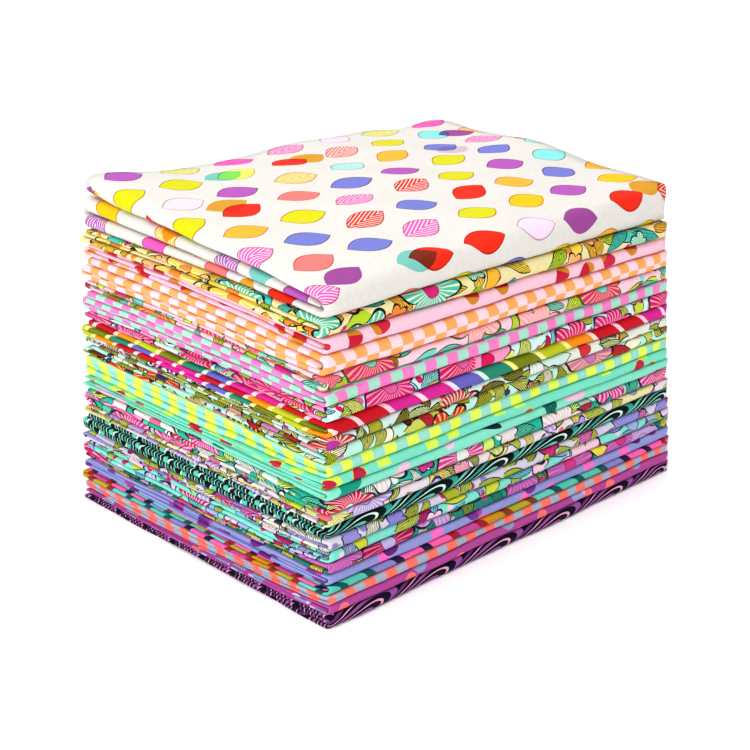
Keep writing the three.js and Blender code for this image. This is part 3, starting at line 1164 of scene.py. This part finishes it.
def floral(ground: str, blossoms: tuple[str, ...], leaves: tuple[str, ...], buds: tuple[str, ...],
           outline: str, streak: str, shift: float, blossom_share: float = 0.8) -> MotifPrint:
    """An all-over floral: large streaked blossoms, veined leaves, small blossoms and buds.

    Args:
        ground: colour of the ground.
        blossoms: colours of the blossoms.
        leaves: colours of the leaves.
        buds: colours of the buds.
        outline: colour of the drawn lines.
        streak: colour of the petals' streaks.
        shift: moves the layers, so that no two florals match.
        blossom_share: share of the places that hold a large blossom.

    Returns:
        The print.
    """
    return MotifPrint(ground, (
        Scatter(Motif.BERRY, 9.5, 1.9, 1.9, buds, None, None, 0.55, shift + 3.3),
        Scatter(Motif.LEAF, 14.0, 11.0, 4.2, leaves, outline, outline, 0.92, shift + 1.2,
                streak_share=0.6),
        Scatter(Motif.LEAF, 19.0, 12.0, 3.4, leaves[1:] + blossoms[:1], outline, outline, 0.5,
                shift + 8.4),
        Scatter(Motif.BLOSSOM, 23.0, 7.2, 7.2, blossoms[1:] + buds[:1], outline, streak, 0.6,
                shift + 5.1, petals=5, streak_share=0.5),
        Scatter(Motif.BLOSSOM, 38.0, 18.0, 18.0, blossoms, outline, streak, blossom_share, shift,
                line=0.08),
        Scatter(Motif.BERRY, 38.0, 4.2, 4.2, buds, outline, None, blossom_share, shift),
    ))


def spots(ground: str, berry: tuple[str, ...], outline: Optional[str], cap: str,
          blocks: tuple[str, ...], block_motif: Motif, shift: float) -> MotifPrint:
    """A plain ground with capped berries, and small blocks or dots between them.

    Args:
        ground: colour of the ground.
        berry: colours of the berries.
        outline: colour of the berries' drawn line.
        cap: colour of the berries' caps.
        blocks: colours of the blocks.
        block_motif: shape of the blocks.
        shift: moves the layers.

    Returns:
        The print.
    """
    return MotifPrint(ground, (
        Scatter(block_motif, 15.0, 3.6, 3.6, blocks, None, None, 0.55, shift + 2.1, 0.5, spread=0.0),
        Scatter(Motif.BERRY, 19.0, 5.4, 4.4, berry, outline, cap, 0.7, shift, 0.5, line=0.2),
    ))


# The cuts' prints, from the top of the stack down.
PRINTS: dict[str, Print] = {
    "leaf_scatter": MotifPrint("DEDAD4", (
        Scatter(Motif.LEAF, 34.0, 12.2, 7.9, BRIGHT_LEAVES, "C4A0A8", "DEDAD4", 0.96, 2.109, 0.1,
                rows=22.0, stagger=0.5, spread=0.07, streak_share=0.2, line=0.09,
                line_blend="MULTIPLY"),
        Scatter(Motif.LEAF, 52.0, 12.0, 7.5, ("B45CB8", "F4B63C", "8CE2DC", "EED8EC"), None, None,
                0.5, 5.2, 0.3, rows=33.0, stagger=0.5, spread=0.07, overprint=True),
    )),
    "garden_floral": floral("E8DCA4", ("F2CC38", "4CC4B4", "F08C3C"),
                            ("F4D04C", "B8D430", "F2B838", "4CC4B4"),
                            ("F08C3C", "D4287C"), "1C1420", "F0E8B8", 0.0),
    "berry_spot": spots("F4C6D8", ("C81E3C", "D02C48"), None, "D08A28", ("FBB28C",), Motif.BERRY, 7.7),
    "orange_check": CheckPrint("F8AC68", "F8D4DC"),
    "pink_floral": floral("F2CCD8", ("C8741C", "D42C8C", "F6B8D8"), ("B4CC3C", "C8E050", "7CD4C8"),
                          ("7CD4C8", "8CDCD4"), "4C5C14", "F0B060", 1.9, 0.4),
    "pink_check": CheckPrint("F484C4", "A8DCC8", slip=3.375),
    "red_petal": floral("CDEDE6", ("D41C5C", "D42C70", "F49CC0"), ("C4D83C", "DCE468", "8CD8CC"),
                        ("E060A0", "D41C5C"), "3A2058", "F49CC0", 3.1, 0.9),
    "bright_bars": BarPrint(
        ("D42C94", "C81428", "C81428", "F09414", "BCC424", "7C8414", "2E8C74", "6C68C0", "D42C94"),
        ("F8D8E0", "F8C8D8", "F8D0DC", "F8D8D0", "F4F08C", "F4F0A0", "F4F08C", "D4F0E4", "F4D8EC"),
        19.6, 0.17),
    "mint_floral": floral("CCE4DC", ("E8E8E0", "B4389C", "D4343C"), ("8C8424", "A8A838", "C8D890"),
                          ("D4343C", "B4389C"), "1C1430", "D0E0D0", 4.4, 0.55),
    "amber_floral": floral("B9EAD8", ("D42C38", "6C2C18", "C878B4"), ("A8AC2C", "C8CC60", "F0ECD0"),
                           ("3C3C60", "C878B4"), "24181C", "F0C060", 5.9, 0.55),
    "lime_check": CheckPrint("E0F860", "9CDCCC", slip=3.375),
    "aqua_berry": spots("7FDCC4", ("C02848", "C83C6C"), "E8D454", "B06C28", ("D4F060",),
                        Motif.BLOCK, 2.6),
    "mint_leaf": MotifPrint("8CE0C8", (
        Scatter(Motif.BERRY, 33.0, 9.0, 4.0, ("F0C4DC",), None, None, 0.45, 1.3),
        Scatter(Motif.LEAF, 31.0, 13.0, 5.0, ("10303A", "1C9C84", "10303A"), None, "1C9C84", 0.5, 4.1,
                streak_share=0.4),
    )),
    "teal_floral": floral("2CB49C", ("D42450", "D83C94", "E4E8E0"), ("D8E878", "E4E8E0", "5CC8A8"),
                          ("E4E8E0", "E87090"), "0C2C30", "F0BCCC", 7.2, 0.75),
    "lime_floral": floral("E2D6DC", ("C8D43C", "B49CD0", "E8E070"), ("C8D43C", "E8E070", "A8B848"),
                          ("E87080", "B49CD0"), "402C60", "DCD4E8", 8.8, 0.85),
    "teal_wave": WavePrint((
        (0.0, "08121C"), (0.12, "64C8B0"), (0.21, "08121C"), (0.33, "D0F0E0"), (0.37, "08121C"),
        (0.48, "3C9C90"), (0.57, "08121C"), (0.68, "D0F0E0"), (0.72, "08121C"), (0.82, "64C8B0"),
        (0.9, "08121C"),
    )),
    "lavender_leaf": floral("D0CCDC", ("3C2450", "8C84CC", "D02C78"), ("A8B42C", "C4CC44", "E8E8D0"),
                            ("D02C78", "8C84CC"), "2C2448", "A8A0D8", 10.3, 0.45),
    "blue_floral": floral("84DCCC", ("C82464", "A4B0D8", "F0C8DC"), ("A4B0D8", "7CC8D0", "C8D440"),
                          ("C82464", "F0C8DC"), "2C2C58", "E8C8DC", 11.7, 0.65),
    "deep_teal_floral": floral("2E8478", ("B060A8", "A81C38", "B8B0DC"), ("8CA03C", "E4D454", "2F9478"),
                               ("D03C84", "B8B0DC"), "0C1C28", "D878B8", 13.0, 0.65),
    "periwinkle_spot": spots("9498D0", ("6C2C7C", "7C3C94"), None, "B04C9C", ("F474C4",),
                             Motif.BLOCK, 14.6),
    "dusk_bars": BarPrint(
        ("F468B0", "F468B0", "8C88C4", "5CC4B0", "5CC4B0", "6CCCBC", "B0A82C", "C8901C", "C84C94"),
        ("A81C30", "2C1848", "2C1848", "0C5C5C", "0C5C5C", "0C5C5C", "8C3C1C", "8C3C1C", "A81C30"),
        17.7, 0.3),
    "coral_check": CheckPrint("FC7C6C", "A8B0C4", square=6.45, slip=3.2),
    "plum_spot": spots("B4509C", ("8C9CC4", "A0A4D0"), None, "D8C8E8", ("F87C7C",), Motif.BERRY, 16.4),
    "plum_wave": WavePrint((
        (0.0, "180A28"), (0.1, "9C589C"), (0.2, "180A28"), (0.31, "E8A8C8"), (0.35, "180A28"),
        (0.46, "9C589C"), (0.56, "180A28"), (0.66, "E8A8C8"), (0.7, "180A28"), (0.8, "6C3878"),
        (0.9, "180A28"),
    )),
}

# Name, height at the front left, height along the left end, air between layers, right, back, turn,
# rounding of the near corner.
CUT_ROWS = (
    ("cloth_01_leaf_scatter", 11.0, 24.7, 1.4, 0.5, 0.6, 0.3, 6.0),
    ("cloth_02_garden_floral", 8.7, 7.2, 0.7, -1.2, 0.2, -0.3, 6.5),
    ("cloth_03_berry_spot", 7.3, 6.8, 0.5, 0.6, 0.9, 0.2, 5.0),
    ("cloth_04_orange_check", 8.3, 11.9, 0.5, -0.4, 0.1, 0.1, 4.0),
    ("cloth_05_pink_floral", 6.7, 4.4, 0.4, 0.9, 0.7, -0.2, 4.5),
    ("cloth_06_pink_check", 6.0, 10.0, 0.4, -0.3, 0.5, 0.3, 3.5),
    ("cloth_07_red_petal", 6.8, 4.8, 0.4, 0.4, -0.4, -0.1, 5.0),
    ("cloth_08_bright_bars", 6.5, 7.8, 0.4, -0.9, 0.3, 0.2, 6.5),
    ("cloth_09_mint_floral", 5.5, 5.2, 0.4, 0.7, 0.8, -0.3, 6.0),
    ("cloth_10_amber_floral", 6.0, 4.8, 0.4, -0.2, 0.0, 0.1, 4.5),
    ("cloth_11_lime_check", 5.5, 11.0, 0.4, 0.3, 0.6, 0.2, 3.5),
    ("cloth_12_aqua_berry", 5.5, 3.0, 0.4, -0.7, -0.3, -0.2, 3.0),
    ("cloth_13_mint_leaf", 5.5, 3.2, 0.4, 0.5, 0.4, 0.2, 4.0),
    ("cloth_14_teal_floral", 6.0, 8.6, 0.4, -0.4, 0.9, -0.1, 5.5),
    ("cloth_15_lime_floral", 5.0, 4.4, 0.4, 0.8, 0.1, 0.1, 4.0),
    ("cloth_16_teal_wave", 5.5, 9.4, 0.4, -0.6, 0.5, -0.2, 5.0),
    ("cloth_17_lavender_leaf", 5.5, 3.9, 0.4, 0.2, -0.2, 0.2, 4.5),
    ("cloth_18_blue_floral", 5.3, 7.7, 0.4, -0.5, 0.6, 0.1, 4.0),
    ("cloth_19_deep_teal_floral", 5.2, 2.8, 0.4, 0.6, 0.2, -0.2, 5.0),
    ("cloth_20_periwinkle_spot", 5.0, 5.4, 0.4, -0.3, 0.4, 0.1, 3.0),
    ("cloth_21_dusk_bars", 4.2, 5.7, 0.4, 0.4, 0.7, -0.1, 3.5),
    ("cloth_22_coral_check", 4.6, 6.2, 0.4, -0.2, 0.1, 0.1, 3.0),
    ("cloth_23_plum_spot", 5.0, 2.5, 0.4, 0.3, 0.3, 0.0, 2.5),
    ("cloth_24_plum_wave", 6.0, 2.8, 0.4, 0.0, 0.0, 0.0, 3.0),
)


def main() -> None:
    """Build the studio and every sheet of the stack, from the base up."""
    logging.basicConfig(level=logging.INFO)
    Studio().build()
    designs = [PRINTS[row[0].split("_", 2)[2]] for row in CUT_ROWS]
    stack = Stack(tuple(Cut(*row, design) for row, design in zip(CUT_ROWS, designs)))
    for place in reversed(range(len(stack.cuts))):
        cloth = FoldedCloth(stack, place)
        piece = cloth.build()
        cloth.dress(piece)
        LOG.info("%s: %d faces", piece.name, len(piece.data.polygons))


if __name__ == "__main__":
    main()
